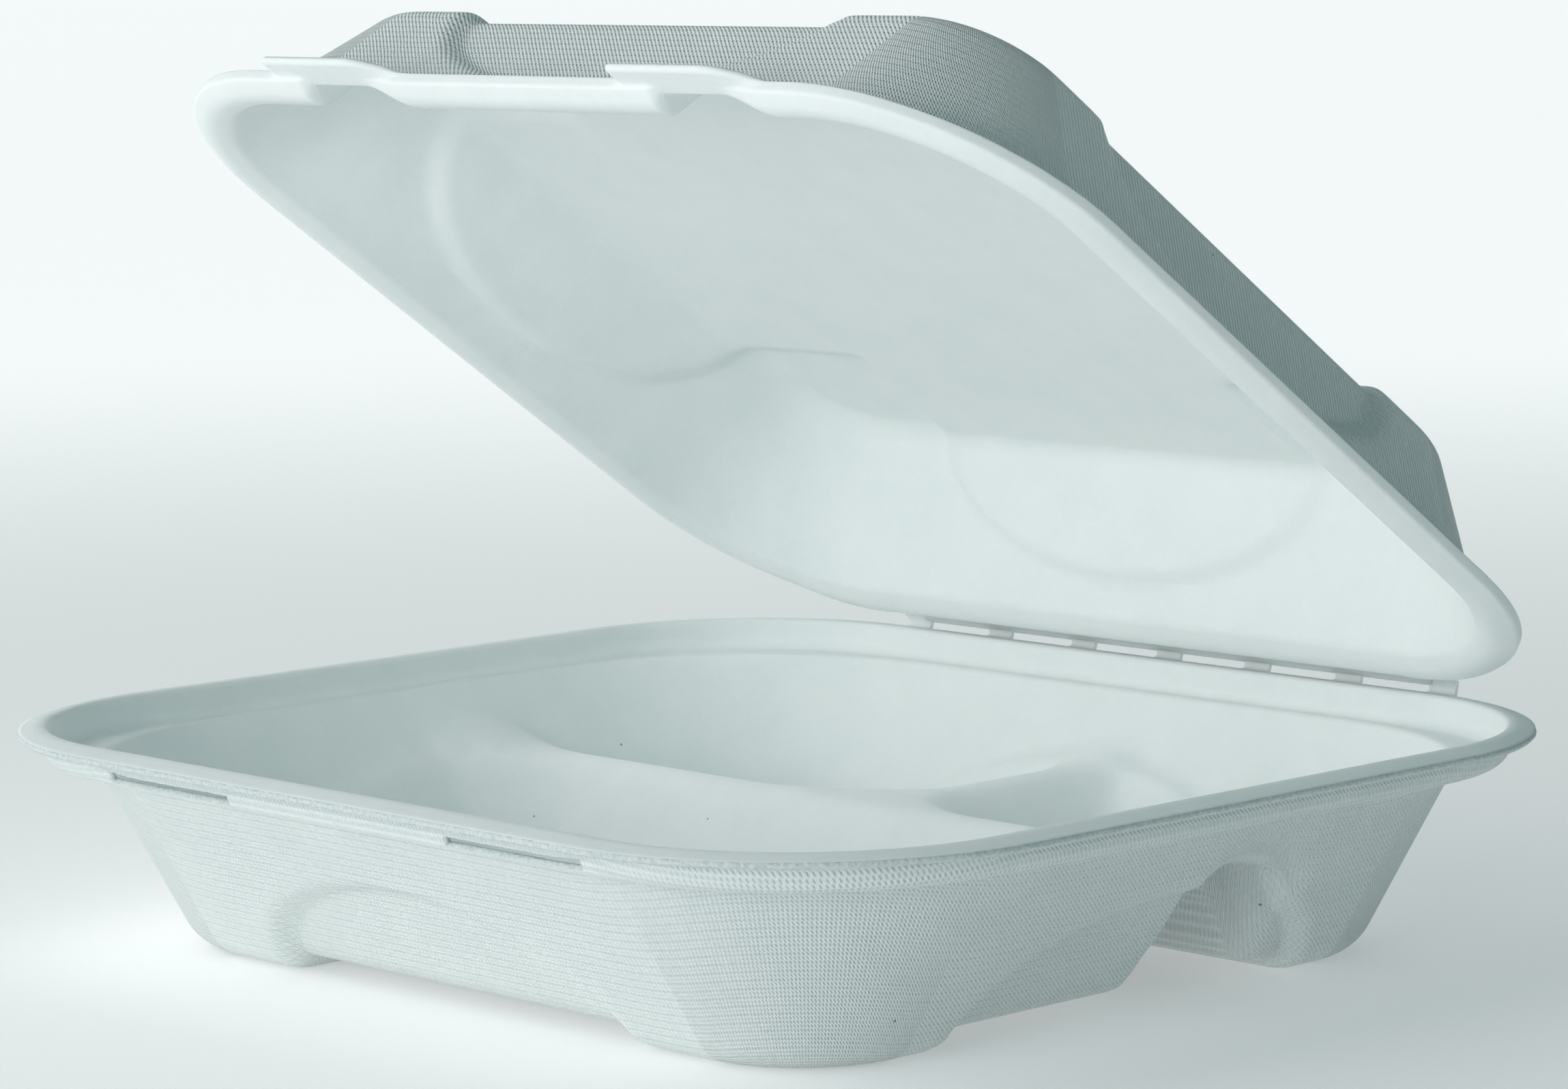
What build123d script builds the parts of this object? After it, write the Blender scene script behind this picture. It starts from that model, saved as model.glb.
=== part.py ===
"""Hinged clamshell food container, moulded in one sheet of plant fibre.

The base is a tray with one large and two small compartments. The lid is a shallower tray that
turns on a perforated fold line along the back, and it is drawn open, as it rests.
Lengths are in millimetres: X runs along the fold, -Y is the front and Z is up from the table.
"""

import math
import os
from typing import NamedTuple

from build123d import *

# Moulded sheet, and how far cutting tools run past what they cut
wall = 1.2
overrun = 6.0

# Base tray: the flange's outline, the crest's height above the table and the flange's slope
base_width = 228.0
base_depth = 209.0
base_height = 40.4
rim_radius = 51.0
flange_width = 4.6
flange_drop = 0.8
rim_fillet = 1.0

# Step inside the flange that takes the lid's rim
collar_inset = 5.6
collar_radius = 42.4
collar_drop = 5.8
collar_fillet = 3.8
shoulder_inset = 9.5
shoulder_radius = 53.0

# Walls and feet of the base
foot_inset = 31.0
foot_radius = 21.0
foot_fillet = 9.0
foot_height = 2.8

# Ridges between the compartments
divider_y = 21.0
divider_half_foot = 15.4
divider_draft = 30.0
crest_radius = 4.5
stem_drop = 1.2
junction_fillet = 10.0

# Arched recesses between the feet of the base
arch_half_width = 43.5
arch_half_depth = 42.0
arch_height = 21.0
arch_depth = 2.6

# Latch slots in the front collar
latch_spacing = 88.0
slot_length = 32.5
slot_height = 2.0
slot_lift = 0.2

# Fold line along the back, its bridges and the room between its two halves
hinge_gap = 2.0
hinge_drop = 0.9
fold_clearance = 0.2
flange_clearance = 0.4
bridge_pitch = 22.0
bridge_width = 5.8

# Lid tray: the room round its rim inside the base's step, and the rolled bead along the rim
lid_clearance = 0.6
latch_clearance = 2.2
lid_radius = 40.0
bead_width = 8.5
bead_bulge = 2.5
bead_lip = 0.8
bead_fillet = 2.4

# Walls, top panel and raised corners of the lid
lid_depth = 27.0
lid_pad_height = 2.0
lid_side_inset = 25.6
lid_end_inset = 20.8
lid_foot_radius = 20.0
lid_fillet = 7.0
lid_arch_half_width = 47.0
lid_arch_half_depth = 43.0
lid_arch_height = 20.0
lid_arch_depth = 1.4
open_angle = 34.6

# Latch tabs on the lid's front edge, and the notch behind each where the bead gives way to the wall
tab_length = 34.5
tab_reach = 4.5
tab_ramp = 10.0
tab_corner = 2.0
tab_shift = 2.0
notch_length = 17.0
notch_run = 12.0
notch_rise = 6.0

# Places that follow from the sizes above
half_width = base_width / 2
half_depth = base_depth / 2
shelf_top = base_height - collar_drop
shelf_bottom = shelf_top - wall
flange_edge = base_height - flange_drop
hinge_y = half_depth + hinge_gap
hinge_z = base_height - hinge_drop
collar_face = collar_inset + wall
lid_width = base_width - 2 * (collar_face + lid_clearance)
lid_front = hinge_y + half_depth - collar_face - latch_clearance
lid_back = hinge_gap + collar_face + lid_clearance
lid_half_depth = (lid_front - lid_back) / 2
lid_middle = (lid_front + lid_back) / 2
bridge_count = 1 + int((base_width - 2 * collar_radius - bridge_width) / bridge_pitch)
strip_length = bridge_pitch * (bridge_count - 1) + bridge_width

# The lid's own frame: its origin on the fold line, Y towards the lid's front and Z out of its mouth
lid_turn = math.radians(open_angle)
lid_mouth = Plane(
    origin=(0, hinge_y, hinge_z),
    x_dir=(1, 0, 0),
    z_dir=(0, -math.sin(lid_turn), -math.cos(lid_turn)),
)


class Outline(NamedTuple):
    """A rectangle with rounded corners, centred across the tray."""

    half_x: float
    half_y: float
    radius: float
    middle: float

    def inset(self, amount):
        """The same outline drawn in by an amount all round."""
        return Outline(self.half_x - amount, self.half_y - amount, self.radius - amount, self.middle)

    def towards(self, other, share):
        """The outline part of the way to another one."""
        return Outline(*(a + (b - a) * share for a, b in zip(self, other)))

    def on(self, plane):
        """The outline as a sketch on a plane."""
        with BuildSketch(plane) as sketch:
            with Locations((0, self.middle)):
                RectangleRounded(2 * self.half_x, 2 * self.half_y, self.radius)
        return sketch.sketch


base_rim = Outline(half_width, half_depth, rim_radius, 0)
base_collar = Outline(half_width - collar_inset, half_depth - collar_inset, collar_radius, 0)
base_shoulder = Outline(half_width - shoulder_inset, half_depth - shoulder_inset, shoulder_radius, 0)
base_foot = Outline(half_width - foot_inset, half_depth - foot_inset, foot_radius, 0)
lid_rim = Outline(lid_width / 2, lid_half_depth, lid_radius, lid_middle)
lid_shoulder = lid_rim.inset(bead_width - wall)
lid_foot = Outline(
    lid_width / 2 - lid_side_inset, lid_half_depth - lid_end_inset, lid_foot_radius, lid_middle
)
wall_slant = math.hypot(foot_inset - shoulder_inset, shelf_bottom) / shelf_bottom
lid_slant = math.hypot(lid_side_inset - bead_width, lid_depth) / lid_depth
lip_top = wall - bead_lip


def prism(plane, outline, bottom, top):
    """Straight solid on an outline between two heights over a plane."""
    with BuildPart() as solid:
        extrude(outline.on(plane.offset(bottom)), amount=top - bottom)
    return solid.part


def frustum(plane, lower, low, upper, high):
    """Tapered solid between two outlines at two heights over a plane."""
    with BuildPart() as solid:
        loft([lower.on(plane.offset(low)), upper.on(plane.offset(high))], ruled=True)
    return solid.part


def rounded_floor(solid, plane, radius):
    """The solid with the edge round its floor rounded."""
    with BuildPart() as rounded:
        add(solid)
        fillet(rounded.edges().group_by(Axis(plane.origin, plane.z_dir))[0], radius)
    return rounded.part


def bowl(plane, shoulder, foot, depth, floor, top):
    """Tapered inside of a tray from its floor to a height, where depth is from shoulder to foot."""
    lower = shoulder.towards(foot, floor / depth)
    upper = shoulder.towards(foot, -top / depth)
    return frustum(plane, lower, -floor, upper, top)


def arch_cut(plane, middle, floor, half_x, half_y, rise, panel):
    """What is taken off a tray between its feet: two crossing arches, less the panel behind them."""
    centre = plane.from_local_coords((0, middle, -floor))
    with BuildPart() as arches:
        for half, across, along in ((half_x, plane.x_dir, plane.y_dir), (half_y, plane.y_dir, plane.x_dir)):
            with BuildSketch(Plane(origin=centre, x_dir=across, z_dir=along)):
                Ellipse(half, rise)
            extrude(amount=base_width, both=True)
        add(panel, mode=Mode.SUBTRACT)
    return arches.part


def ridge(plane, skin, both):
    """A bar with sloping flanks and a rounded crest, along a section plane whose Y is up."""
    flank = math.tan(math.radians(divider_draft))
    half_foot = divider_half_foot + skin / math.cos(math.radians(divider_draft))
    half_bottom = half_foot + overrun * flank
    with BuildPart() as bar:
        with BuildSketch(plane) as section:
            with BuildLine():
                Polyline(
                    (-half_bottom, -overrun),
                    (half_bottom, -overrun),
                    (0, half_foot / flank),
                    close=True,
                )
            make_face()
            fillet(section.vertices().sort_by(Axis.Y)[-1], crest_radius + skin)
        extrude(amount=base_width, both=both)
    return bar.part


def compartments(skin):
    """The outside of the base below its shelf, or with the sheet's thickness off it the inside."""
    shelf = Plane.XY.offset(shelf_bottom)
    shoulder = base_shoulder.inset(skin * wall_slant)
    foot = base_foot.inset(skin * wall_slant)
    recess = arch_depth * wall_slant
    top = wall / 2 + skin
    panel = bowl(
        shelf,
        shoulder.inset(recess),
        foot.inset(recess),
        shelf_bottom,
        shelf_bottom - foot_height - skin,
        top + wall,
    )
    panel = rounded_floor(panel, shelf, foot_fillet - skin)
    arches = arch_cut(
        Plane.XY, 0, 0, arch_half_width + skin, arch_half_depth + skin, arch_height + skin, panel
    )
    crossbar = Plane(origin=(0, divider_y, 0), x_dir=(0, 1, 0), z_dir=(1, 0, 0))
    stem = Plane(origin=(0, divider_y, -stem_drop), x_dir=(-1, 0, 0), z_dir=(0, 1, 0))
    with BuildPart() as form:
        add(bowl(shelf, shoulder, foot, shelf_bottom, shelf_bottom - skin, top))
        for plane, both in ((crossbar, True), (stem, False)):
            before = form.part
            bar = ridge(plane, skin, both)
            add(bar, mode=Mode.SUBTRACT)
            floor_edges = form.edges().group_by(Axis.Z)[0]
            junctions = new_edges(before, bar, combined=form.part) - floor_edges
            fillet(junctions, junction_fillet - skin)
        fillet(form.edges().group_by(Axis.Z)[0], foot_fillet - skin)
        add(arches, mode=Mode.SUBTRACT)
    return form.part


def lid_hollow(skin):
    """The outside of the lid above its rim, or with the sheet's thickness off it the inside."""
    shoulder = lid_shoulder.inset(skin * lid_slant)
    foot = lid_foot.inset(skin * lid_slant)
    recess = lid_arch_depth * lid_slant
    pad_floor = lid_depth + lid_pad_height - skin
    top = skin * (bead_bulge + overrun) / wall
    panel = bowl(
        lid_mouth, shoulder.inset(recess), foot.inset(recess), lid_depth, lid_depth - skin, top + wall
    )
    panel = rounded_floor(panel, lid_mouth, lid_fillet - skin)
    arches = arch_cut(
        lid_mouth,
        lid_middle,
        lid_depth + lid_pad_height,
        lid_arch_half_width + skin,
        lid_arch_half_depth + skin,
        lid_arch_height + lid_pad_height + skin,
        panel,
    )
    pads = bowl(lid_mouth, shoulder, foot, lid_depth, pad_floor, top)
    with BuildPart() as form:
        add(rounded_floor(pads, lid_mouth, lid_fillet - skin))
        add(arches, mode=Mode.SUBTRACT)
    return form.part


def along_fold(points, length, centre_x, side):
    """A strip of constant section along the fold, from points across the fold line on a side plane."""
    with BuildPart() as strip:
        with BuildSketch(Plane(origin=side.origin, x_dir=side.y_dir, z_dir=side.x_dir).offset(centre_x)):
            with BuildLine():
                Polyline(*points, close=True)
            make_face()
        extrude(amount=length / 2, both=True)
    return strip.part


bridge_places = [bridge_pitch * (i - (bridge_count - 1) / 2) for i in range(bridge_count)]
latch_places = (-latch_spacing / 2, latch_spacing / 2)

# Base
base_outside = compartments(0)
base_inside = compartments(wall)
collar_outside = rounded_floor(
    prism(Plane.XY, base_collar, shelf_bottom, base_height - wall / 2),
    Plane.XY,
    collar_fillet + wall,
)
collar_inside = rounded_floor(
    prism(Plane.XY, base_collar.inset(wall), shelf_top, base_height + overrun),
    Plane.XY,
    collar_fillet,
)
crest_outline = base_collar.inset(flange_width - collar_inset)
bridge_points = [
    (half_depth - wall, flange_edge),
    (half_depth, flange_edge),
    (hinge_y - fold_clearance, hinge_z - fold_clearance),
    (hinge_y - fold_clearance, hinge_z - fold_clearance - wall),
    (half_depth - wall, flange_edge - wall),
]

with BuildPart() as base:
    add(prism(Plane.XY, base_rim, flange_edge - wall, flange_edge))
    add(frustum(Plane.XY, base_rim, flange_edge, crest_outline, base_height))
    add(
        frustum(Plane.XY, base_rim, flange_edge - wall, crest_outline, base_height - wall),
        mode=Mode.SUBTRACT,
    )
    add(collar_outside)
    add(base_outside)
    add(collar_inside, mode=Mode.SUBTRACT)
    add(base_inside, mode=Mode.SUBTRACT)
    fillet(base.faces().sort_by(Axis.Z)[-1].inner_wires()[0].edges(), rim_fillet)
    slot_reach = collar_face + collar_fillet
    with Locations(*((x, -half_depth + slot_reach / 2, shelf_top + slot_lift) for x in latch_places)):
        Box(
            slot_length,
            slot_reach,
            slot_height,
            align=(Align.CENTER, Align.CENTER, Align.MIN),
            mode=Mode.SUBTRACT,
        )
    for x in bridge_places:
        add(along_fold(bridge_points, bridge_width, x, Plane.XY))
base.part.label = "base"

# Lid
lid_outside = lid_hollow(0)
lid_inside = lid_hollow(wall)
flange_lift = flange_edge - hinge_z + flange_clearance
crest_lift = base_height - hinge_z + flange_clearance
crest_reach = hinge_gap + flange_width
strip_points = [
    (hinge_gap, -flange_lift),
    (crest_reach, -crest_lift),
    (lid_back, -crest_lift),
    (lid_back, 0),
    (lid_back + wall, 0),
    (lid_back + wall, -crest_lift - wall),
    (crest_reach, -crest_lift - wall),
    (hinge_gap, -flange_lift - wall),
]
tongue_points = [
    (fold_clearance, -fold_clearance),
    (hinge_gap, -flange_lift),
    (hinge_gap + wall, -flange_lift - wall / 2),
    (hinge_gap, -flange_lift - wall),
    (fold_clearance, -fold_clearance - wall),
]
boss_points = [
    (lid_front, -bead_lip),
    (lid_front, bead_bulge - bead_fillet),
    (lid_front - bead_fillet, bead_bulge),
    (lid_front - notch_run, bead_bulge),
    (lid_front - notch_run, -bead_lip - notch_rise),
]
notch_points = [
    (lid_front + overrun, bead_bulge + overrun),
    (lid_front + overrun, lip_top),
    (lid_front - wall, lip_top),
    (lid_front - wall - notch_run, lip_top - notch_rise),
    (lid_front - wall - notch_run, bead_bulge + overrun),
]
tab_points = [
    (-tab_length / 2, -wall),
    (-tab_length / 2, tab_reach),
    (tab_length / 2 - tab_ramp, tab_reach),
    (tab_length / 2, 0),
    (tab_length / 2, -wall),
]

with BuildPart() as channel:
    add(prism(lid_mouth, lid_rim.inset(wall), -bead_lip - overrun, bead_bulge - wall))
    add(
        prism(lid_mouth, lid_rim.inset(bead_width - 2 * wall), -bead_lip - overrun, bead_bulge),
        mode=Mode.SUBTRACT,
    )

with BuildPart() as lid:
    add(prism(lid_mouth, lid_rim, -bead_lip, bead_bulge))
    fillet(lid.edges().group_by(Axis(lid_mouth.origin, lid_mouth.z_dir))[-1], bead_fillet)
    add(channel.part, mode=Mode.SUBTRACT)
    add(lid_outside)
    for x in latch_places:
        add(along_fold(boss_points, notch_length + 2 * wall, x, lid_mouth))
    add(lid_inside, mode=Mode.SUBTRACT)
    mouth_face = lid.faces().sort_by(Axis(lid_mouth.origin, lid_mouth.z_dir))[-1]
    fillet(mouth_face.inner_wires()[0].edges(), bead_fillet)
    for x in latch_places:
        with BuildSketch(lid_mouth.offset(-bead_lip)) as tab:
            with BuildLine(Location((x + tab_shift, lid_front))):
                Polyline(*tab_points, close=True)
            make_face()
            fillet(tab.vertices().group_by(Axis.Y)[-1], tab_corner)
        extrude(amount=wall)
        add(along_fold(notch_points, notch_length, x, lid_mouth), mode=Mode.SUBTRACT)
    add(along_fold(strip_points, strip_length, 0, lid_mouth))
    for x in bridge_places:
        add(along_fold(tongue_points, bridge_width, x, lid_mouth))
lid.part.label = "lid"

os.makedirs("parts", exist_ok=True)
export_step(base.part, "parts/base.step")
export_step(lid.part, "parts/lid.step")
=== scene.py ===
"""Clamshell container of moulded plant fibre, standing part open on a pale floor.

The sheet of each tray is drawn as columns of points that run from the tray's floor, up its wall and
over its rim. Lengths are in millimetres until a mesh is made from them.
"""

import math
from typing import NamedTuple

import bpy
import numpy as np
from mathutils import Matrix, Vector


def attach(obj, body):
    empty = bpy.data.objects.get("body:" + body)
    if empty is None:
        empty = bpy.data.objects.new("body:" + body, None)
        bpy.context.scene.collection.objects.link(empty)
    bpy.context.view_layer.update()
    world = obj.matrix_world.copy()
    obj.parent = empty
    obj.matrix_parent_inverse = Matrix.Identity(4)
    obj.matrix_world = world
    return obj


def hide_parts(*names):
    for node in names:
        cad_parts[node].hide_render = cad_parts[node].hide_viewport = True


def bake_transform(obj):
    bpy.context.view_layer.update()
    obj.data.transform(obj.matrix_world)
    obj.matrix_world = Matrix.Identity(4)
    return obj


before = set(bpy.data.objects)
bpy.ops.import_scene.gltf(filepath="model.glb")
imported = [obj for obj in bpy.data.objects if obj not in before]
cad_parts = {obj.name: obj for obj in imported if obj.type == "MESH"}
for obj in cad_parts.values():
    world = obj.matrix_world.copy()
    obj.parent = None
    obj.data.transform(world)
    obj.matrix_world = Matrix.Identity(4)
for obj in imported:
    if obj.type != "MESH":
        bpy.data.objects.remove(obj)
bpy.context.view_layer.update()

METRES = 0.001
TINY = 1e-9

# Sheet: its thickness, the swell and the fraying of its cut edge, its material slots and its UV map
SHEET = 1.2
EDGE_ROLL = 0.36
FRAY_SEED = 7
INSIDE, OUTSIDE, EDGE = 0, 1, 2
SHEET_MAP = "sheet"

# Fineness: steps from the floor's grid to the foot of a wall, and halvings in the search for an outline
FLOOR_STEPS = 12
HALVINGS = 40

# A rounded corner takes at least and at most these shares of the shorter straight beside it
LEAST_TRIM = 0.04
MOST_TRIM = 0.49


def mix(plain, changed, share):
    """A value part of the way from one to another."""
    return plain + (changed - plain) * share


def smooth(low, high, value):
    """0 below low, 1 above high and an S-curve between."""
    share = np.clip((value - low) / (high - low), 0, 1)
    return share * share * (3 - 2 * share)


def smooth_max(a, b, width):
    """The larger of two heights, blended where they differ by less than a width."""
    near = np.maximum(width - np.abs(a - b), 0) / width
    return np.maximum(a, b) + near * near * width / 4


def unit(vectors):
    """Vectors of the same directions, with a length of 1."""
    return vectors / np.maximum(np.linalg.norm(vectors, axis=-1, keepdims=True), TINY)


def spaced(start, *stretches):
    """Ascending places: each stretch is its end and the largest step on the way to it."""
    places = [start]
    for end, step in stretches:
        count = max(1, math.ceil((end - places[-1]) / step - TINY))
        places.extend(np.linspace(places[-1], end, count + 1)[1:])
    return np.array(places)


def straight(start, end, steps):
    """The points after the start on the way to an end."""
    return [mix(start, end, share) for share in np.arange(1, steps + 1) / steps]


class Outline(NamedTuple):
    """A rectangle with rounded corners, about the tray's middle."""

    half_x: float
    half_y: float
    radius: float

    def inset(self, amount):
        return Outline(self.half_x - amount, self.half_y - amount, self.radius - amount)

    def towards(self, other, share):
        return Outline(*(mix(a, b, share) for a, b in zip(self, other)))

    def distance(self, places):
        """How far outside the outline each place in plan is, and below zero inside it."""
        out = np.abs(places) - np.array([self.half_x, self.half_y]) + self.radius
        corner = np.linalg.norm(np.maximum(out, 0), axis=-1)
        return corner + np.minimum(out.max(axis=-1), 0) - self.radius

    def reach(self, columns):
        """How far each column's ray runs from its anchor to this outline."""
        near = np.zeros(len(columns.anchor))
        far = np.full(len(columns.anchor), self.half_x + self.half_y)
        for _ in range(HALVINGS):
            middle = (near + far) / 2
            inside = self.distance(columns.anchor + columns.ray * middle[:, None]) < 0
            near = np.where(inside, middle, near)
            far = np.where(inside, far, middle)
        return near


class Columns:
    """Rays in plan, anti-clockwise from the left of the -Y side, out of a rectangle of anchors."""

    corner_steps = 34
    corner_run = 45.0

    def __init__(self, xs, ys):
        self.xs, self.ys = xs, ys
        right, back = len(xs) - 1, len(ys) - 1
        quarter = np.radians(np.linspace(0, 90, self.corner_steps + 1)[1:-1])
        anchor, ray, run, foot = [], [], [], []
        along = 0.0
        sides = (
            ([(i, 0) for i in range(right + 1)], -90),
            ([(right, j) for j in range(back + 1)], 0),
            ([(i, back) for i in range(right, -1, -1)], 90),
            ([(0, j) for j in range(back, -1, -1)], 180),
        )
        for places, facing in sides:
            turn = math.radians(facing)
            start = np.array([xs[places[0][0]], ys[places[0][1]]])
            for i, j in places:
                here = np.array([xs[i], ys[j]])
                anchor.append(here)
                ray.append((math.cos(turn), math.sin(turn)))
                run.append(along + np.abs(here - start).sum())
                foot.append((i, j))
            along = run[-1]
            for angle in quarter:
                anchor.append(anchor[-1])
                ray.append((math.cos(turn + angle), math.sin(turn + angle)))
                run.append(along + self.corner_run * angle)
                foot.append(places[-1])
            along += self.corner_run * math.pi / 2
        self.anchor, self.ray = np.array(anchor), np.array(ray)
        self.run, self.length = np.array(run), along
        self.foot = np.array([i * len(ys) + j for i, j in foot])


class Corner(NamedTuple):
    """A corner of a section: its reach, height and rounding, each one value or one for every column, the
    steps along the straight before it and the steps round it."""

    reach: float | np.ndarray
    height: float | np.ndarray
    rounding: float | np.ndarray = 0.0
    steps: int = 0
    round_steps: int = 0


def rounded_profile(columns, corners):
    """Rows of points, as reach and height in every column, along a section with rounded corners."""
    flat = np.zeros(len(columns.anchor))
    spots = [np.stack([corner.reach + flat, corner.height + flat], axis=1) for corner in corners]
    rows = [spots[0]]
    for before, spot, after, corner in zip(spots, spots[1:], spots[2:], corners[1:]):
        back, ahead = unit(before - spot), unit(after - spot)
        half = np.arccos(np.clip((back * ahead).sum(axis=1, keepdims=True), -1, 1)) / 2
        back_length = np.linalg.norm(before - spot, axis=1, keepdims=True)
        shorter = np.minimum(back_length, np.linalg.norm(after - spot, axis=1, keepdims=True))
        trim = (corner.rounding + flat)[:, None] / np.tan(half)
        trim = np.clip(trim, LEAST_TRIM * shorter, MOST_TRIM * shorter)
        enter, leave = spot + back * trim, spot + ahead * trim
        rows.extend(straight(rows[-1], enter, corner.steps))
        for t in np.arange(1, corner.round_steps + 1) / corner.round_steps:
            first, middle, last = (1 - t) ** 2, 2 * t * (1 - t) * np.sin(half), t * t
            rows.append((first * enter + middle * spot + last * leave) / (first + middle + last))
    rows.extend(straight(rows[-1], spots[-1], corners[-1].steps))
    return np.array(rows)


def last_row(corners):
    """Number of the row that ends the last of some corners."""
    return sum(corner.steps + corner.round_steps for corner in corners)


class Arches(NamedTuple):
    """Arched recesses between a tray's feet, one on each side, with a soft edge."""

    half_x: float
    half_y: float
    rise: float
    floor: float
    edge: float

    def share(self, points):
        """How far inside the arches each point is, from 0 outside to 1 within."""
        up = (points[..., 2] - self.floor) / self.rise
        inside = np.zeros(points.shape[:2])
        for axis, half in enumerate((self.half_x, self.half_y)):
            side = points[..., axis] / half
            level = np.hypot(side, up) + TINY
            steep = np.hypot(side / half, up / self.rise) / level
            inside = np.maximum(inside, smooth(-self.edge / 2, self.edge / 2, (1 - level) / steep))
        return inside


def point_normals(points, quads):
    """The normal at each point, from the quads round it."""
    normals = np.zeros_like(points)
    a, b, c, d = points[quads.T]
    across = np.cross(c - a, d - b)
    for corner in quads.T:
        np.add.at(normals, corner, across)
    return unit(normals)


def open_edges(quads):
    """Sides of quads that no other quad shares, as pairs of points."""
    edges = {}
    for starts, ends in zip(quads.T.tolist(), np.roll(quads, -1, axis=1).T.tolist()):
        for a, b in zip(starts, ends):
            if a != b and edges.pop((b, a), None) is None:
                edges[a, b] = True
    return list(edges)


def rolled_edge(inner, outer, normals, edges, beside, fray):
    """Points down the middle of the cut edge, swollen outwards and a little frayed."""
    starts, ends = np.array(edges).T
    sides = unit(np.cross(inner[ends] - inner[starts], normals[starts]))
    outward = np.zeros_like(inner)
    np.add.at(outward, starts, sides)
    np.add.at(outward, ends, sides)
    draws = np.random.default_rng(FRAY_SEED).standard_normal(len(beside))
    swell = EDGE_ROLL + np.minimum(fray * draws, 0)
    return (inner[beside] + outer[beside]) / 2 + unit(outward[beside]) * swell[:, None]


class Faces:
    """A mesh's faces as rings of points, with the place of each corner on the sheet and a slot each."""

    no_places = ((0.0, 0.0),) * 4

    def __init__(self):
        self.rings, self.places, self.slots = [], [], []

    def add(self, ring, places, slot):
        self.rings.append(ring)
        self.places.extend(places)
        self.slots.append(slot)


def smooth_mesh(name, points, rings, materials):
    """A mesh in metres with smooth faces."""
    mesh = bpy.data.meshes.new(name)
    mesh.from_pydata((points * METRES).tolist(), [], rings)
    mesh.polygons.foreach_set("use_smooth", np.ones(len(rings), bool))
    for material in materials:
        mesh.materials.append(material)
    return mesh


class Tray:
    """Points of one tray's inner face: a grid over its floor and columns round it."""

    def __init__(self, columns, profile, floor, level_row):
        self.columns = columns
        plan = columns.anchor + columns.ray * profile[:, :, :1]
        self.points = np.concatenate([plan, profile[:, :, 1:]], axis=2)
        slope = unit(np.gradient(profile, axis=0))
        self.facing = np.concatenate([-slope[:, :, 1:] * columns.ray, slope[:, :, :1]], axis=2)
        xs, ys = np.meshgrid(columns.xs, columns.ys, indexing="ij")
        self.grid = np.stack([xs, ys, np.full(xs.shape, floor)], axis=2)
        steps = np.linalg.norm(np.diff(profile, axis=0), axis=2)
        climb = np.concatenate([np.zeros((1, steps.shape[1])), np.cumsum(steps, axis=0)])
        self.climb = climb - climb[level_row]

    def press(self, arches, depth):
        """Pushes the sheet into the tray inside the arches."""
        self.points = self.points + self.facing * (depth * arches.share(self.points))[:, :, None]
        self.grid[:, :, 2] += depth * arches.share(self.grid)

    def raise_to(self, height):
        """Sets each point's height from what stands on its place."""
        for points in (self.points, self.grid):
            points[:, :, 2] = height(points)

    def floor_quads(self):
        """Quads of the floor's grid and the places of their corners on the sheet."""
        xs, ys = self.columns.xs, self.columns.ys
        i, j = np.meshgrid(np.arange(len(xs) - 1), np.arange(len(ys) - 1), indexing="ij")
        i, j = i.ravel(), j.ravel()
        ring = ((i, j), (i + 1, j), (i + 1, j + 1), (i, j + 1))
        quads = np.stack([a * len(ys) + b for a, b in ring], axis=1)
        places = np.stack([np.stack([xs[a], ys[b]], axis=1) for a, b in ring], axis=1)
        return quads, places

    def wall_quads(self, holes):
        """Quads of the columns, less the holes, and the places of their corners on the sheet: in plan near
        the floor, and round the tray and up its wall elsewhere."""
        columns = self.columns
        rows, count = self.points.shape[:2]
        first = len(columns.xs) * len(columns.ys)
        number = first + np.arange((rows - 1) * count).reshape(rows - 1, count)
        number = np.concatenate([columns.foot[None], number])
        keep = np.ones((rows - 1, count), bool)
        for hole in holes:
            keep[hole] = False
        k, c = np.nonzero(keep)
        after = (c + 1) % count
        ring = ((k, c), (k + 1, c), (k + 1, after), (k, after))
        quads = np.stack([number[spot] for spot in ring], axis=1)
        over_floor = np.stack([self.points[spot][:, :2] for spot in ring], axis=1)
        along = np.append(columns.run, columns.length)
        runs = (along[c], along[c], along[c + 1], along[c + 1])
        up_wall = [np.stack([run, self.climb[spot]], axis=1) for run, spot in zip(runs, ring)]
        on_floor = (k < FLOOR_STEPS)[:, None, None]
        return quads, np.where(on_floor, over_floor, np.stack(up_wall, axis=1))

    def mesh(self, name, materials, holes, fray):
        """The sheet as a closed mesh: inner face, outer face and cut edges."""
        parts = self.floor_quads(), self.wall_quads(holes)
        quads, places = (np.concatenate(both) for both in zip(*parts))
        inner = np.concatenate([self.grid.reshape(-1, 3), self.points[1:].reshape(-1, 3)])
        normals = point_normals(inner, quads)
        outer = inner - SHEET * normals
        size = len(inner)
        faces = Faces()
        for quad, cell in zip(quads.tolist(), places.tolist()):
            if quad[0] == quad[3]:
                quad, cell = quad[:3], cell[:3]
            faces.add(quad, cell, INSIDE)
            faces.add([n + size for n in reversed(quad)], reversed(cell), OUTSIDE)
        edges = open_edges(quads)
        beside = list(dict.fromkeys(n for edge in edges for n in edge))
        middle = {n: 2 * size + k for k, n in enumerate(beside)}
        for a, b in edges:
            faces.add([b, a, middle[a], middle[b]], Faces.no_places, EDGE)
            faces.add([middle[b], middle[a], a + size, b + size], Faces.no_places, EDGE)
        edge_points = rolled_edge(inner, outer, normals, edges, beside, fray)
        mesh = smooth_mesh(name, np.concatenate([inner, outer, edge_points]), faces.rings, materials)
        layer = mesh.uv_layers.new(name=SHEET_MAP)
        layer.data.foreach_set("uv", np.array(faces.places, np.float32).ravel())
        mesh.polygons.foreach_set("material_index", np.array(faces.slots, np.int32))
        mesh.update()
        return mesh


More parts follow.
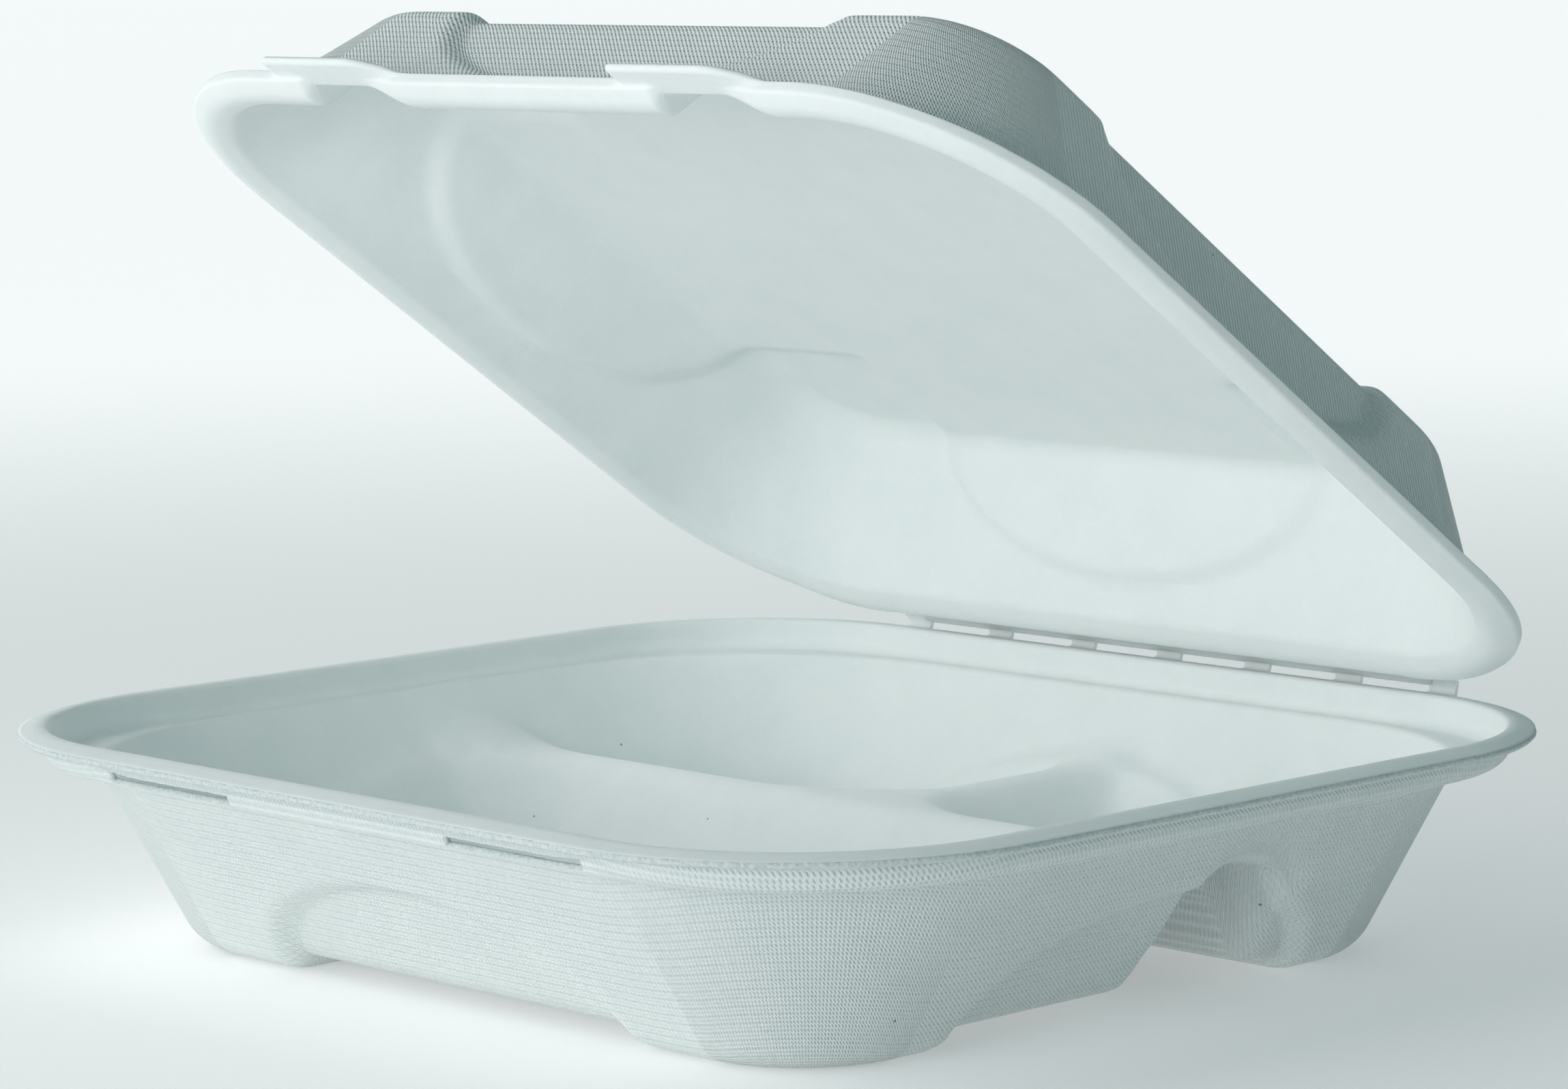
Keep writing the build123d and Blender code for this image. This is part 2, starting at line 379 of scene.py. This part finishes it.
# Base tray
BASE_RIM = Outline(114.0, 104.5, 51.0)
BASE_COLLAR = Outline(107.2, 97.7, 41.2)
BASE_SHOULDER = Outline(104.5, 95.0, 53.0)
BASE_FOOT = Outline(83.0, 73.5, 21.0)
SHELF = 34.6
CREST = 40.4
FLANGE_EDGE = 39.6
CREST_WIDTH = 2.2
WALL_SLANT = 1.19
FOOT_ROUND = 8.0
SHELF_ROUND = 1.6
COLLAR_ROUND = 3.8
CREST_ROUND = 1.1
FLANGE_ROUND = 6.0
FOOT_HEIGHT = 2.8
BASE_ARCHES = Arches(half_x=44.0, half_y=42.5, rise=21.5, floor=0.5, edge=3.6)
BASE_FRAY = 0.06

# Floor grid of the base: its half sizes and largest steps
BASE_GRID = (62.0, 52.0)
BASE_GRID_STEPS = (1.5, 1.4)

# Latch slots in the front collar: their ends, on both sides of the middle, and their heights
SLOT_ENDS = (27.75, 60.25)
SLOT_BOTTOM = SHELF + 0.5
SLOT_TOP = SHELF + 2.5


def base_columns():
    """Columns of the base, with one at each end of each slot."""
    near, far = SLOT_ENDS
    half_x, half_y = BASE_GRID
    step_x, step_y = BASE_GRID_STEPS
    xs = spaced(-half_x, *((end, step_x) for end in (-far, -near, near, far, half_x)))
    return Columns(xs, spaced(-half_y, (half_y, step_y)))


def latch_slots(tray):
    """Rows and columns of the two slots. The front's columns come first, in the order of their X."""
    near, far = SLOT_ENDS
    xs = tray.columns.xs
    heights = tray.points[:, len(xs) // 2, 2]
    rows = np.nonzero((heights[:-1] > SLOT_BOTTOM) & (heights[1:] < SLOT_TOP))[0]
    slots = []
    for low, high in ((-far, -near), (near, far)):
        across = np.nonzero((xs > low - TINY) & (xs < high - TINY))[0]
        slots.append(np.ix_(rows, across))
    return slots


def base_mesh(materials):
    columns = base_columns()
    shoulder = BASE_SHOULDER.inset(SHEET * WALL_SLANT)
    foot = BASE_FOOT.inset(SHEET * WALL_SLANT)
    collar = BASE_COLLAR.reach(columns)
    flange = BASE_COLLAR.inset(-CREST_WIDTH).reach(columns)

    def wall(height):
        """Reach of the wall's inner face."""
        return foot.towards(shoulder, height / (SHELF - SHEET)).reach(columns)

    corners = [
        Corner(0, SHEET),
        Corner(wall(SHEET), SHEET, FOOT_ROUND, steps=FLOOR_STEPS, round_steps=8),
        Corner(wall(SHELF), SHELF, SHELF_ROUND, steps=22, round_steps=5),
        Corner(collar, SHELF, COLLAR_ROUND, steps=2, round_steps=12),
        Corner(collar, CREST, CREST_ROUND, steps=3, round_steps=6),
        Corner(flange, CREST, FLANGE_ROUND, steps=1, round_steps=4),
        Corner(BASE_RIM.inset(EDGE_ROLL).reach(columns), FLANGE_EDGE, steps=4),
    ]
    tray = Tray(columns, rounded_profile(columns, corners), SHEET, last_row(corners))
    tray.press(BASE_ARCHES, FOOT_HEIGHT)
    tray.raise_to(base_height)
    return tray.mesh("base_sheet", materials, latch_slots(tray), BASE_FRAY)


# Ridges between the compartments: a crossbar, and a stem from it to the back
RIDGE_Y = 21.0
RIDGE_CREST = 23.4
STEM_DROP = 1.2
RIDGE_ROUND = 5.7
LEAST_ROUND = 2.6
RIDGE_STEEPNESS = math.radians(60)
POCKET_RADIUS = 28.0
POCKET_WALL = BASE_FOOT.towards(BASE_SHOULDER, RIDGE_CREST / (SHELF - SHEET)).inset(SHEET * WALL_SLANT)

# Ends of the ridges: plan radii behind and before the crossbar, how far the change from one to the other
# runs on each side of it, and how steeply a crest climbs the wall
REAR_END_RADIUS = 18.0
FRONT_END_RADIUS = 30.0
END_CHANGE = 9.0
WALL_RISE = 1.55

# Width of the blend into floor and wall: at the ridge's foot, at its crest, and the heights between
RIDGE_BLEND = 11.0
CREST_BLEND = 2.5
BLEND_BOTTOM = 4.0
BLEND_TOP = 18.0


def round_corner(a, b, radius):
    """How far outside both of two crossing sides a place is, with their corner rounded, and what share
    of the corner's turn lies on the first side."""
    u, v = np.maximum(a + radius, 0), np.maximum(b + radius, 0)
    beyond = np.hypot(u, v)
    share = np.where(beyond > 0, u * u / np.maximum(beyond * beyond, TINY), a > b)
    return np.where(beyond > 0, beyond - radius, np.maximum(a, b)), share


def ridge_height(offset, crest, crest_round):
    """Height of a ridge with a round crest, by the distance from its middle."""
    peak = crest + crest_round
    kept = np.maximum(crest_round, LEAST_ROUND)
    centre = peak - kept / math.cos(RIDGE_STEEPNESS)
    round_part = centre + np.sqrt(np.maximum(kept**2 - offset**2, 0))
    flank = peak - math.tan(RIDGE_STEEPNESS) * offset
    return np.where(offset < kept * math.sin(RIDGE_STEEPNESS), round_part, flank)


def base_height(points):
    """The tray's floor and walls with the ridges on them, their corners rounded in plan."""
    x, y, z = np.moveaxis(points, 2, 0)
    behind = y - RIDGE_Y
    from_wall = POCKET_WALL.distance(points[..., :2])
    from_ridge = np.where(behind > 0, round_corner(-behind, -np.abs(x), POCKET_RADIUS)[0], behind)
    radius = mix(REAR_END_RADIUS, FRONT_END_RADIUS, smooth(-END_CHANGE, END_CHANGE, -behind))
    beyond, share = round_corner(from_wall, from_ridge, radius)
    rise = np.minimum(WALL_RISE * np.maximum(beyond, 0) * share**2, SHELF - RIDGE_CREST)
    crest = RIDGE_CREST - STEM_DROP * smooth(0, POCKET_RADIUS, behind) + rise
    ridges = ridge_height(np.maximum(-beyond, 0), crest, RIDGE_ROUND * (1 - share))
    away = 1 - smooth(0, radius / 2, from_ridge + radius)
    blend = mix(RIDGE_BLEND, CREST_BLEND, smooth(BLEND_BOTTOM, BLEND_TOP, ridges))
    return smooth_max(z, ridges - 2 * RIDGE_BLEND * away, blend)


# Lid tray, in a frame of its own: Y from the fold towards the lid's front and Z out of its mouth
FOLD = Vector((0, 106.5, 39.5))
OPEN = math.radians(34.6)
LID_MIDDLE = 105.7
LID_RIM = Outline(106.6, 96.3, 40.0)
LID_FOOT = Outline(81.0, 75.5, 20.0)
LID_DEPTH = 27.0
LID_SLANT = 1.18
LID_FOOT_ROUND = 6.5
PAD = 2.0
LID_FLOOR = SHEET - LID_DEPTH - PAD
LID_ARCHES = Arches(half_x=47.0, half_y=43.0, rise=22.5, floor=LID_FLOOR - 0.5, edge=3.6)
LID_FRAY = 0.05

# Latch tabs on the lid's front edge, and the notches in the bead behind them
TAB_STARTS = (-59.5, 29.0)
TAB_LENGTH = 34.0
TAB_RAMP = 11.5
TAB_REACH = 4.5
TAB_CORNER = 1.6
NOTCH_START = 7.0
NOTCH_EDGE = (-0.5, 1.5)
NOTCH_FLAT = 15.0
NOTCH_RAMP = 11.0
NOTCH_RISE = 6.0

# Bead round the lid's mouth. A corner of its section is its distance in from the rim, its height and its
# rounding, and it has a second set of these where a notch presses the bead flat
BEAD = 8.5
BULGE = 2.5
LIP = 0.8
PLATE = SHEET - LIP
WALL_TOP_ROUND = 2.0
BEAD_FOOT_HEIGHT = 0.5 * BULGE
BEAD_FOOT_ROUND = 3.2
NOTCH_FOOT = (2.4, PLATE, 0.8)
BEAD_TOP = (4.0, 1.15 * BULGE, 7.0)
NOTCH_TOP = (1.6, PLATE, 0.3)
BEAD_SIDE = (0.0, 0.45 * BULGE, 2.6)
NOTCH_SIDE = (0.8, PLATE, 0.2)
REAR_SIDE_HEIGHT = 0.95 * BULGE
LIP_ROUND = 0.1
TAB_ROUND = 0.5
EDGE_ROUND = 0.3

# Strip along the fold: how far past the rim it bends and ends, and its heights there
STRIP_BEND = 2.8
STRIP_REACH = 7.8
STRIP_HEIGHT = -1.3
STRIP_END = -0.3

# How far a column's ray points to the front or the back, from 0 to 1: square to it past the first value,
# and towards the back the bead's side rises between the other two
SQUARE = 0.999
REAR_TURN = (0.75, 0.99)

# Floor grid of the lid: its half sizes, its largest steps, and finer steps where tabs and notches start
LID_GRID = (64.0, 58.0)
LID_GRID_STEPS = (1.6, 1.7)
TAB_STEP = 0.3
TAB_FINE = (-0.9, 2.1)
NOTCH_STEP = 0.5
NOTCH_FINE = (-1.0, 2.0)


def lid_columns():
    """Columns of the lid, close together where a tab or a notch starts."""
    half_x, half_y = LID_GRID
    step_x, step_y = LID_GRID_STEPS
    stretches = []
    for tab in TAB_STARTS:
        notch = tab + NOTCH_START
        stretches.append((tab + TAB_FINE[0], step_x))
        stretches.append((tab + TAB_FINE[1], TAB_STEP))
        stretches.append((notch + NOTCH_FINE[0], step_x))
        stretches.append((notch + NOTCH_FINE[1], NOTCH_STEP))
    xs = spaced(-half_x, *stretches, (half_x, step_x))
    return Columns(xs, spaced(-half_y, (half_y, step_y)))


def latch_tabs(x):
    """How far the tabs reach out of the front edge at each X, as a share of their full reach."""
    tabs = np.zeros(len(x))
    for start in TAB_STARTS:
        end = start + TAB_LENGTH
        into = np.clip(x - start, 0, TAB_CORNER)
        corner = TAB_REACH - TAB_CORNER + np.sqrt(TAB_CORNER**2 - (TAB_CORNER - into) ** 2)
        fall = 1 - smooth(end - TAB_RAMP, end, x)
        tabs = np.maximum(tabs, np.where(x > start, corner / TAB_REACH, 0) * fall)
    return tabs


def bead_notches(x):
    """How far the bead is pressed flat behind the tabs at each X, from 0 to 1."""
    notches = np.zeros(len(x))
    for tab in TAB_STARTS:
        start = tab + NOTCH_START
        end = start + NOTCH_FLAT
        rise = smooth(start + NOTCH_EDGE[0], start + NOTCH_EDGE[1], x)
        notches = np.maximum(notches, rise * (1 - smooth(end, end + NOTCH_RAMP, x)))
    return notches


def lid_mesh(materials):
    columns = lid_columns()
    x, forward = columns.anchor[:, 0], columns.ray[:, 1]
    tab = latch_tabs(x) * (forward > SQUARE)
    notch = bead_notches(x) * (forward > SQUARE)
    strip = (forward < -SQUARE).astype(float)
    rear = smooth(*REAR_TURN, -forward)
    rim = LID_RIM.reach(columns)
    shoulder = LID_RIM.inset(BEAD - SHEET + SHEET * LID_SLANT)
    foot = LID_FOOT.inset(SHEET * LID_SLANT)

    def wall(height):
        """Reach of the wall's inner face."""
        return shoulder.towards(foot, -height / LID_DEPTH).reach(columns)

    def bead(plain, notched):
        """Reach, height and rounding of a corner of the bead."""
        inset, height, rounding = (mix(a, b, notch) for a, b in zip(plain, notched))
        return rim - inset, height, rounding

    def lip(share, strip_reach, strip_height):
        """Reach and height part of the way over a tab, or out along the strip."""
        reach = rim + TAB_REACH * tab * share + strip_reach * strip
        return reach, mix(mix(-LIP * share, PLATE, tab), strip_height, strip)

    bead_foot = (rim - wall(BEAD_FOOT_HEIGHT), BEAD_FOOT_HEIGHT, BEAD_FOOT_ROUND)
    side, side_height, side_round = bead(BEAD_SIDE, NOTCH_SIDE)
    side_height = mix(side_height, REAR_SIDE_HEIGHT, rear)
    up_to_wall_top = [
        Corner(0, LID_FLOOR),
        Corner(wall(LID_FLOOR), LID_FLOOR, LID_FOOT_ROUND, steps=FLOOR_STEPS, round_steps=8),
        Corner(wall(-NOTCH_RISE), -NOTCH_RISE, WALL_TOP_ROUND, steps=18, round_steps=3),
    ]
    over_bead = [
        Corner(*bead(bead_foot, NOTCH_FOOT), steps=4, round_steps=8),
        Corner(*bead(BEAD_TOP, NOTCH_TOP), steps=1, round_steps=8),
        Corner(side, side_height, side_round, steps=1, round_steps=7),
    ]
    out_to_edge = [
        Corner(*lip(0.0, 0.0, STRIP_HEIGHT), mix(LIP_ROUND, TAB_ROUND, tab), steps=1, round_steps=3),
        Corner(*lip(0.5, STRIP_BEND, STRIP_HEIGHT), EDGE_ROUND, steps=1, round_steps=2),
        Corner(*lip(1.0, STRIP_REACH, STRIP_END), steps=2),
    ]
    corners = up_to_wall_top + over_bead + out_to_edge
    profile = rounded_profile(columns, corners)
    tray = Tray(columns, profile, LID_FLOOR, last_row(up_to_wall_top))
    tray.press(LID_ARCHES, PAD)
    strip_sides = np.nonzero(strip != np.roll(strip, -1))[0]
    past_rim = np.arange(last_row(up_to_wall_top + over_bead) + 1, len(profile) - 1)
    return tray.mesh("lid_sheet", materials, [np.ix_(past_rim, strip_sides)], LID_FRAY)


def lid_place(y, z):
    """A point in the lid's own frame, as Y and Z in the base's."""
    return (
        FOLD.y - y * math.cos(OPEN) - z * math.sin(OPEN),
        FOLD.z + y * math.sin(OPEN) - z * math.cos(OPEN),
    )


# Bridges across the fold: how many, their spacing, width, widening at the ends and half thickness
BRIDGE_COUNT = 7
BRIDGE_PITCH = 22.0
BRIDGE_WIDTH = 5.8
BRIDGE_FLARE = 0.9
BRIDGE_HALF = 0.36 * SHEET
BRIDGE_STEPS = 14
BRIDGE_STEPS_ACROSS = 6
BRIDGE_SHARP = math.radians(50)

# A bridge's curve in Y and Z: from inside the flange's edge, round the fold, to inside the lid's strip
FLANGE_MIDDLE = FLANGE_EDGE - SHEET / 2
BRIDGE_CURVE = (
    (BASE_RIM.half_y - 0.6, FLANGE_MIDDLE),
    (FOLD.y - 0.6, FOLD.z - 0.5),
    lid_place(0.8, -0.6),
    lid_place(2.6, -1.1),
)


def on_curve(spots, t):
    """Place and direction on a curve with four control points."""
    a, b, c, d = (np.array(spot) for spot in spots)
    place = (1 - t) ** 3 * a + 3 * t * (1 - t) ** 2 * b + 3 * t * t * (1 - t) * c + t**3 * d
    lean = (1 - t) ** 2 * (b - a) + 2 * t * (1 - t) * (c - b) + t * t * (d - c)
    return place, unit(lean)


def bridge_mesh(material):
    points, faces = [], []
    ring = 2 * (BRIDGE_STEPS_ACROSS + 1)
    for n in range(BRIDGE_COUNT):
        middle = BRIDGE_PITCH * (n - (BRIDGE_COUNT - 1) / 2)
        first = len(points)
        for t in np.linspace(0, 1, BRIDGE_STEPS + 1):
            place, lean = on_curve(BRIDGE_CURVE, t)
            side = np.array([-lean[1], lean[0]]) * BRIDGE_HALF
            width = BRIDGE_WIDTH / 2 + BRIDGE_FLARE * (2 * t - 1) ** 2
            spread = np.linspace(-width, width, BRIDGE_STEPS_ACROSS + 1)
            points.extend((middle + s, *(place + side)) for s in spread)
            points.extend((middle + s, *(place - side)) for s in spread[::-1])
        for k in range(BRIDGE_STEPS):
            for m in range(ring):
                a, b = first + k * ring + m, first + k * ring + (m + 1) % ring
                faces.append((b, a, a + ring, b + ring))
        faces.append(tuple(first + m for m in range(ring)))
        faces.append(tuple(first + BRIDGE_STEPS * ring + m for m in reversed(range(ring))))
    mesh = smooth_mesh("fold_bridges", np.array(points), faces, [material])
    mesh.set_sharp_from_angle(angle=BRIDGE_SHARP)
    mesh.update()
    return mesh


class Nodes:
    """The nodes of a material or a world, made and joined one after another."""

    def __init__(self, owner):
        owner.use_nodes = True
        self.owner = owner
        self.tree = owner.node_tree

    def add(self, kind, inputs=None, **settings):
        node = self.tree.nodes.new(kind)
        for key, value in settings.items():
            setattr(node, key, value)
        self.set(node, inputs or {})
        return node

    def set(self, node, inputs):
        """Joins each input to a socket, or sets it to a value."""
        for key, value in inputs.items():
            if isinstance(value, bpy.types.NodeSocket):
                self.tree.links.new(value, node.inputs[key])
            else:
                node.inputs[key].default_value = value

    def math(self, operation, a, b=0.0):
        return self.add("ShaderNodeMath", {0: a, 1: b}, operation=operation).outputs[0]

    def blended(self, a, a_share, b, b_share):
        """The sum of two values, each times its share."""
        return self.math("ADD", self.math("MULTIPLY", a, a_share), self.math("MULTIPLY", b, b_share))

    def noise(self, place, scale, detail, roughness=0.5):
        inputs = {"Vector": place, "Scale": scale, "Detail": detail, "Roughness": roughness}
        return self.add("ShaderNodeTexNoise", inputs).outputs["Fac"]

    def ramp(self, value, *stops):
        node = self.add("ShaderNodeValToRGB", {0: value})
        for element, (place, colour) in zip(node.color_ramp.elements, stops):
            element.position = place
            element.color = (*colour, 1)
        return node.outputs[0]


class Finish(NamedTuple):
    """How fibre takes light: its bump and the bump's height in metres, its roughness and how much light
    passes into it."""

    bump: float
    bump_height: float
    roughness: float
    subsurface: float


# Fibre: its colours, its finishes, and its clouds, fine grain and shreds as noise scales per metre
PALE = (0.80, 0.855, 0.845)
DEEP = (0.74, 0.81, 0.80)
PALE_INSIDE = (0.855, 0.895, 0.888)
DEEP_INSIDE = (0.80, 0.855, 0.848)
# Cut edge colours: frayed fibre, darkened further as painted shade that stands for the shade inside the
# latch slots
TORN_WITH_PAINTED_SHADE = (0.66, 0.73, 0.725)
FRAYED_WITH_PAINTED_SHADE = (0.54, 0.61, 0.605)
FIBRE_SPECULAR = 0.25
PRESSED = Finish(bump=0.2, bump_height=0.0005, roughness=0.82, subsurface=0.6)
SCREENED = Finish(bump=0.9, bump_height=0.0005, roughness=0.82, subsurface=0.2)
LOOSE = Finish(bump=0.6, bump_height=0.0006, roughness=0.9, subsurface=0.2)
CLOUD_SCALE = 90.0
GRAIN_SCALE = 1500.0
SHRED_SCALE = 1400.0
CLOUD_SHARE = 0.7
CLOUD_STOPS = (0.3, 0.7)
SHRED_STOPS = (0.35, 0.6)

# Specks: cells per metre, the size of a speck in its cell, and the share of the cells that have none
SPECK = (0.30, 0.31, 0.27)
SPECK_CELLS = 160.0
SPECK_SIZE = 0.045
SPECK_FREE = 0.965

# Mark of the moulding screen: spacing of dashes round the tray and of rows up it, the lean of the dashes,
# how much each second row stands out, and the shares of grain and weave in the relief
DASH_PITCH = 0.95
ROW_PITCH = 0.85
DASH_LEAN = 0.5
PAIR_SHARE = 0.4
GRAIN_RELIEF = 0.2
WEAVE_RELIEF = 0.4
PRESSED_GRAIN_RELIEF = 0.35


def fibre_surface(nodes, colour, relief, finish):
    """The material, with a colour and a relief joined to its surface."""
    bump = {"Height": relief, "Strength": finish.bump, "Distance": finish.bump_height}
    surface = {
        "Base Color": colour,
        "Normal": nodes.add("ShaderNodeBump", bump).outputs[0],
        "Roughness": finish.roughness,
        "Specular IOR Level": FIBRE_SPECULAR,
        "Subsurface Weight": finish.subsurface,
        "Subsurface Radius": (1.0, 1.0, 1.0),
        "Subsurface Scale": SHEET * METRES,
    }
    nodes.set(nodes.tree.nodes["Principled BSDF"], surface)
    return nodes.owner


def specked(nodes, place, tone):
    """A colour with a few dark specks."""
    cells = nodes.add("ShaderNodeTexVoronoi", {"Vector": place, "Scale": SPECK_CELLS})
    near = nodes.math("LESS_THAN", cells.outputs["Distance"], SPECK_SIZE)
    draw = nodes.add("ShaderNodeSeparateColor", {0: cells.outputs["Color"]}).outputs[0]
    rare = nodes.math("GREATER_THAN", draw, SPECK_FREE)
    inputs = {"Factor": nodes.math("MULTIPLY", near, rare), "A": tone, "B": (*SPECK, 1)}
    return nodes.add("ShaderNodeMix", inputs, data_type="RGBA").outputs["Result"]


def screen_weave(nodes):
    """Rows of leaning dashes, with each second row a little higher."""
    sheet = nodes.add("ShaderNodeUVMap", uv_map=SHEET_MAP).outputs[0]
    along, up, _ = nodes.add("ShaderNodeSeparateXYZ", {0: sheet}).outputs
    rows = nodes.math("DIVIDE", up, ROW_PITCH)
    within = nodes.math("SUBTRACT", nodes.math("FRACT", rows), 0.5)
    lean = nodes.math("MULTIPLY", within, DASH_LEAN)
    slanted = nodes.math("ADD", nodes.math("DIVIDE", along, DASH_PITCH), lean)
    dashes = nodes.math("SINE", nodes.math("MULTIPLY", slanted, 2 * math.pi))
    row_crest = nodes.math("COSINE", nodes.math("MULTIPLY", within, math.pi))
    pair_crest = nodes.math("COSINE", nodes.math("MULTIPLY", rows, math.pi))
    return nodes.blended(dashes, row_crest, pair_crest, PAIR_SHARE)


def fibre(name, screen):
    """Plant fibre: smooth and faintly clouded, or with the mark of the moulding screen."""
    nodes = Nodes(bpy.data.materials.new(name))
    place = nodes.add("ShaderNodeTexCoord").outputs["Object"]
    cloud = nodes.noise(place, CLOUD_SCALE, detail=5.0, roughness=0.6)
    grain = nodes.noise(place, GRAIN_SCALE, detail=3.0)
    deep, pale = (DEEP, PALE) if screen else (DEEP_INSIDE, PALE_INSIDE)
    clouds = nodes.blended(cloud, CLOUD_SHARE, grain, 1 - CLOUD_SHARE)
    colour = specked(nodes, place, nodes.ramp(clouds, *zip(CLOUD_STOPS, (deep, pale))))
    if screen:
        relief = nodes.blended(grain, GRAIN_RELIEF, screen_weave(nodes), WEAVE_RELIEF)
        return fibre_surface(nodes, colour, relief, SCREENED)
    relief = nodes.math("MULTIPLY", grain, PRESSED_GRAIN_RELIEF)
    return fibre_surface(nodes, colour, relief, PRESSED)


def torn_edge_with_painted_shade():
    """The sheet's cut edge, loose and frayed, its colour darkened further as painted shade that stands for
    the shade inside the latch slots.
    """
    nodes = Nodes(bpy.data.materials.new("fibre_edge_painted_shade"))
    place = nodes.add("ShaderNodeTexCoord").outputs["Object"]
    shred = nodes.noise(place, SHRED_SCALE, detail=4.0)
    colour = nodes.ramp(shred, *zip(SHRED_STOPS, (FRAYED_WITH_PAINTED_SHADE, TORN_WITH_PAINTED_SHADE)))
    return fibre_surface(nodes, colour, shred, LOOSE)


def linked(name, data):
    """A new object in the scene."""
    made = bpy.data.objects.new(name, data)
    bpy.context.scene.collection.objects.link(made)
    return made


def add_base(inside, outside, edge):
    base = linked("base_tray", base_mesh((inside, outside, edge)))
    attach(base, "base")
    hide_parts("base")


def add_lid(inside, outside):
    mesh = lid_mesh((inside, outside, inside))
    turn = Matrix(
        (
            (1, 0, 0, FOLD.x * METRES),
            (0, -math.cos(OPEN), -math.sin(OPEN), FOLD.y * METRES),
            (0, math.sin(OPEN), -math.cos(OPEN), FOLD.z * METRES),
            (0, 0, 0, 1),
        )
    )
    mesh.transform(turn @ Matrix.Translation((0, LID_MIDDLE * METRES, 0)))
    lid = linked("lid_tray", mesh)
    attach(lid, "lid")
    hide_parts("lid")


def add_bridges(inside):
    bridges = linked("fold_bridges", bridge_mesh(inside))
    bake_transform(bridges)


def add_container():
    inside = fibre("fibre_inside", screen=False)
    outside = fibre("fibre_outside", screen=True)
    # The base's cut edges get the frayed fibre colour darkened as painted shade
    add_base(inside, outside, torn_edge_with_painted_shade())
    add_lid(inside, outside)
    add_bridges(inside)


# Camera, from the photograph's perspective: angles in degrees and clipping distances in metres
CAMERA_PLACE = (637.9, -613.2, 180.65)
CAMERA_YAW, CAMERA_PITCH, CAMERA_ROLL = 45.95, -7.05, -0.67
IMAGE_WIDTH = 2298
FOCAL_PIXELS = 7462.0
SENSOR = 36.0
CLIP_START, CLIP_END = 0.05, 200.0


def add_camera():
    yaw, pitch, roll = (math.radians(a) for a in (CAMERA_YAW, CAMERA_PITCH, CAMERA_ROLL))
    ahead = Vector((-math.sin(yaw) * math.cos(pitch), math.cos(yaw) * math.cos(pitch), math.sin(pitch)))
    level = Vector((math.cos(yaw), math.sin(yaw), 0))
    upright = level.cross(ahead)
    right = level * math.cos(roll) + upright * math.sin(roll)
    up = upright * math.cos(roll) - level * math.sin(roll)
    camera = linked("camera", bpy.data.cameras.new("camera"))
    camera.data.sensor_width = SENSOR
    camera.data.lens = SENSOR * FOCAL_PIXELS / IMAGE_WIDTH
    camera.data.clip_start = CLIP_START
    camera.data.clip_end = CLIP_END
    axes = Matrix((right, up, -ahead)).transposed().to_4x4()
    camera.matrix_world = Matrix.Translation(Vector(CAMERA_PLACE) * METRES) @ axes
    bpy.context.scene.camera = camera


class Light(NamedTuple):
    """A rectangular light, in metres and watts."""

    place: tuple
    target: tuple
    width: float
    height: float
    power: float


# Floor, in metres: its half size, colour and glow, which grows with the distance from the container
FLOOR_REACH = 60.0
FLOOR_COLOUR = (0.93, 0.94, 0.94, 1)
NEAR_GLOW = (0.22, 0.22, 0.22)
FAR_GLOW = (0.5, 0.5, 0.5)
GLOW_START, GLOW_END = 0.3, 1.3

# Light from all round: the direction of its dark side, its two colours, and where one turns to the other
SHADE_SIDE = (0.75, 0.31, 0.58)
LIT = (1.22, 1.22, 1.22)
SHADED = (0.105, 0.175, 0.18)
LIT_END, SHADED_START = 0.42, 0.68

# Soft lights
LIGHT_SPREAD = math.radians(110)
LIGHTS = {
    "key": Light(place=(0.25, -1.6, 0.30), target=(0, 0, 0.06), width=1.2, height=0.8, power=3.5),
    "floor_wash": Light(place=(-0.3, -0.8, 0.6), target=(-0.3, -0.8, 0), width=0.7, height=0.5, power=1.0),
}


def floor_white():
    nodes = Nodes(bpy.data.materials.new("floor_white"))
    place = nodes.add("ShaderNodeTexCoord").outputs["Object"]
    away = nodes.add("ShaderNodeVectorMath", {0: place}, operation="LENGTH").outputs["Value"]
    inputs = {"Value": away, "From Min": GLOW_START, "From Max": GLOW_END}
    share = nodes.add("ShaderNodeMapRange", inputs, interpolation_type="SMOOTHSTEP").outputs[0]
    surface = {
        "Base Color": FLOOR_COLOUR,
        "Roughness": 0.9,
        "Specular IOR Level": 0.1,
        "Emission Color": nodes.ramp(share, (0.0, NEAR_GLOW), (1.0, FAR_GLOW)),
        "Emission Strength": 1.0,
    }
    nodes.set(nodes.tree.nodes["Principled BSDF"], surface)
    return nodes.owner


def add_floor():
    mesh = bpy.data.meshes.new("floor")
    corners = [(x * FLOOR_REACH, y * FLOOR_REACH, 0) for x, y in ((-1, -1), (1, -1), (1, 1), (-1, 1))]
    mesh.from_pydata(corners, [], [(0, 1, 2, 3)])
    mesh.materials.append(floor_white())
    floor = linked("floor", mesh)


def add_world():
    nodes = Nodes(bpy.data.worlds.new("studio"))
    around = nodes.add("ShaderNodeTexCoord").outputs["Generated"]
    towards = nodes.add("ShaderNodeVectorMath", {0: around, 1: SHADE_SIDE}, operation="DOT_PRODUCT")
    inputs = {"Value": towards.outputs["Value"], "From Min": -1.0}
    share = nodes.add("ShaderNodeMapRange", inputs).outputs[0]
    colour = nodes.ramp(share, (LIT_END, LIT), (SHADED_START, SHADED))
    nodes.set(nodes.tree.nodes["Background"], {"Color": colour})
    bpy.context.scene.world = nodes.owner


def add_lights():
    for name, light in LIGHTS.items():
        made = linked(name, bpy.data.lights.new(name, "AREA"))
        made.data.shape = "RECTANGLE"
        made.data.size = light.width
        made.data.size_y = light.height
        made.data.energy = light.power
        made.data.spread = LIGHT_SPREAD
        made.location = light.place
        towards = Vector(light.target) - Vector(light.place)
        made.rotation_euler = towards.to_track_quat("-Z", "Y").to_euler()


add_container()
add_camera()
add_floor()
add_world()
add_lights()
bpy.context.scene.view_settings.view_transform = "Standard"
